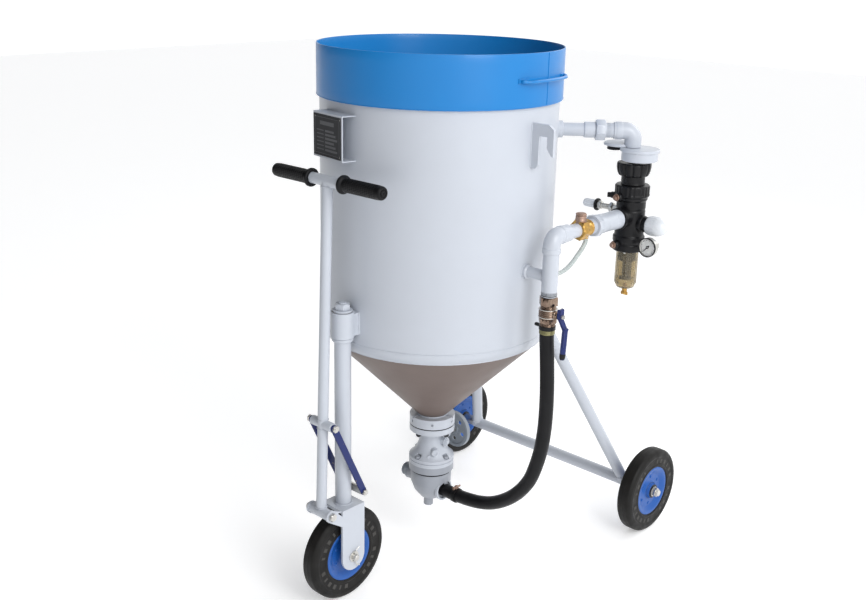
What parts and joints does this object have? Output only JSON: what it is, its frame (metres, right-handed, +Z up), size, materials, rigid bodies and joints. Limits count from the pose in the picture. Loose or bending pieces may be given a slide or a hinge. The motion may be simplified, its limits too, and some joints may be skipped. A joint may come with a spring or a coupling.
{
  "type": "portable abrasive blasting pot",
  "caption": "Wheeled pressure pot for abrasive blasting, with hopper ring, air regulator line, metering valve and tilting tow handle.",
  "frame": {"origin": "centre of the overall footprint at floor level", "axes": "+Z up; the steered wheel and tow handle are at the -Y end, the rear axle runs along X at the +Y end and the air line is on the +X side"},
  "size_m": [0.904, 1.118, 1.407],
  "materials": {
    "white_paint": "semi-gloss off-white enamel with a faint orange-peel",
    "blue_paint": "gloss blue enamel over rolled sheet",
    "navy_paint": "worn navy-blue enamel",
    "grey_plate": "matt dark grey printed plate",
    "zinc": "dull zinc plating",
    "nickel_brass": "nickel-plated brass worn to brown",
    "brass": "dull yellow brass",
    "cast_grey": "grey painted casting",
    "rusty_steel": "surface rust",
    "black_rubber": "smooth matt rubber",
    "tyre_rubber": "solid rubber with a fine moulded skin",
    "black_casting": "satin black epoxy",
    "black_plastic": "fine textured plastic",
    "white_plastic": "smooth white plastic",
    "amber_plastic": "yellowed clear polycarbonate",
    "tube_plastic": "translucent nylon tube",
    "clear_lens": "clear flat lens"
  },
  "bodies": {
    "frame": {"tank_shell": "white_paint", "hopper_ring": "blue_paint", "gaskets": "black_rubber", "standpipe": "zinc", "feed_pipe": "white_paint", "nameplate_bracket": "white_paint", "nameplate": "grey_plate", "hanger_lug": "white_paint", "tank_flange": "white_paint", "stack_bolts": "zinc", "grit_valve_body": "white_paint", "mixing_tee": "white_paint", "blast_outlet": "cast_grey", "air_hose": "black_rubber", "hose_clamps": "rusty_steel", "hose_ferrule": "brass", "ball_valve_body": "nickel_brass", "drop_pipe": "white_paint", "check_valve": "brass", "run_union": "white_paint", "control_tube": "tube_plastic", "regulator_body": "black_casting", "regulator_bowl": "amber_plastic", "filter_element": "black_plastic", "port_plugs": "rusty_steel", "bleed_valve": "zinc", "inlet_cap": "white_plastic", "gauge": "white_plastic", "gauge_glass": "clear_lens", "exhaust_pipe": "white_paint", "exhaust_valve": "white_paint", "silencer": "black_plastic", "silencer_disc": "white_paint", "swivel_sleeve": "white_paint", "swivel_bushes": "brass", "rear_legs": "white_paint", "rear_axle": "white_paint", "axle_shaft": "zinc"},
    "filling_valve": {"popup_valve": "zinc"},
    "grit_spindle": {"grit_stem": "zinc", "handwheel": "cast_grey"},
    "air_valve": {"valve_ball": "zinc", "valve_lever": "navy_paint"},
    "pressure_knob": {"regulator_knob": "black_plastic"},
    "drain": {"bowl_drain": "brass"},
    "bleeder": {"bleed_knob": "white_plastic"},
    "needle": {"gauge_needle": "black_plastic"},
    "caster": {"caster_column": "white_paint", "caster_fork": "white_paint", "caster_pins": "zinc"},
    "front_wheel": {"front_tyre": "tyre_rubber", "front_rim": "blue_paint"},
    "handle": {"handle_frame": "white_paint", "handle_grips": "black_rubber"},
    "stay": {"stay_links": "navy_paint", "stay_pin": "zinc"},
    "left_wheel": {"left_tyre": "tyre_rubber", "left_rim": "blue_paint"},
    "right_wheel": {"right_tyre": "tyre_rubber", "right_rim": "blue_paint"}
  },
  "joints": [
    {"name": "filling_valve_lift", "type": "slide", "parent": "frame", "child": "filling_valve", "axis": [0, 0, 1], "range_m": [0, 0.025]},
    {"name": "grit_valve_turn", "type": "hinge", "parent": "frame", "child": "grit_spindle", "pos_m": [-0.039, -0.014, 0.338], "axis": [0, 1, 0], "range_deg": [0, 90]},
    {"name": "air_valve_turn", "type": "hinge", "parent": "frame", "child": "air_valve", "pos_m": [0.334, -0.104, 0.796], "axis": [-1, 0, 0], "range_deg": [0, 90]},
    {"name": "pressure_knob_turn", "type": "hinge", "parent": "frame", "child": "pressure_knob", "pos_m": [0.334, 0.226, 1.09], "axis": [0, 0, 1], "range_deg": [0, 720]},
    {"name": "drain_turn", "type": "hinge", "parent": "frame", "child": "drain", "pos_m": [0.334, 0.226, 0.78], "axis": [0, 0, 1], "range_deg": [0, 180]},
    {"name": "bleeder_turn", "type": "hinge", "parent": "frame", "child": "bleeder", "pos_m": [0.221, 0.226, 0.997], "axis": [-1, 0, 0], "range_deg": [0, 360]},
    {"name": "needle_sweep", "type": "hinge", "parent": "frame", "child": "needle", "pos_m": [0.414, 0.191, 0.922], "axis": [0, 1, 0], "range_deg": [0, 270], "stiffness_Nm_per_rad": 0.002},
    {"name": "caster_swivel", "type": "hinge", "parent": "frame", "child": "caster", "pos_m": [-0.039, -0.434, 0.5], "axis": [0, 0, 1], "range_deg": [-30, 30]},
    {"name": "front_wheel_spin", "type": "hinge", "parent": "caster", "child": "front_wheel", "pos_m": [-0.039, -0.434, 0.125], "axis": [1, 0, 0], "continuous": true},
    {"name": "handle_tilt", "type": "hinge", "parent": "caster", "child": "handle", "pos_m": [-0.039, -0.509, 0.268], "axis": [1, 0, 0], "range_deg": [0, 24]},
    {"name": "stay_swing", "type": "hinge", "parent": "handle", "child": "stay", "pos_m": [-0.039, -0.50062, 0.50785], "axis": [1, 0, 0], "range_deg": [0, 9.7]},
    {"name": "left_wheel_spin", "type": "hinge", "parent": "frame", "child": "left_wheel", "pos_m": [-0.408, 0.434, 0.125], "axis": [1, 0, 0], "continuous": true},
    {"name": "right_wheel_spin", "type": "hinge", "parent": "frame", "child": "right_wheel", "pos_m": [0.33, 0.434, 0.125], "axis": [1, 0, 0], "continuous": true}
  ],
  "couplings": [
    {"joint": "stay_swing", "follows": "handle_tilt", "ratio": 0.4}
  ]
}
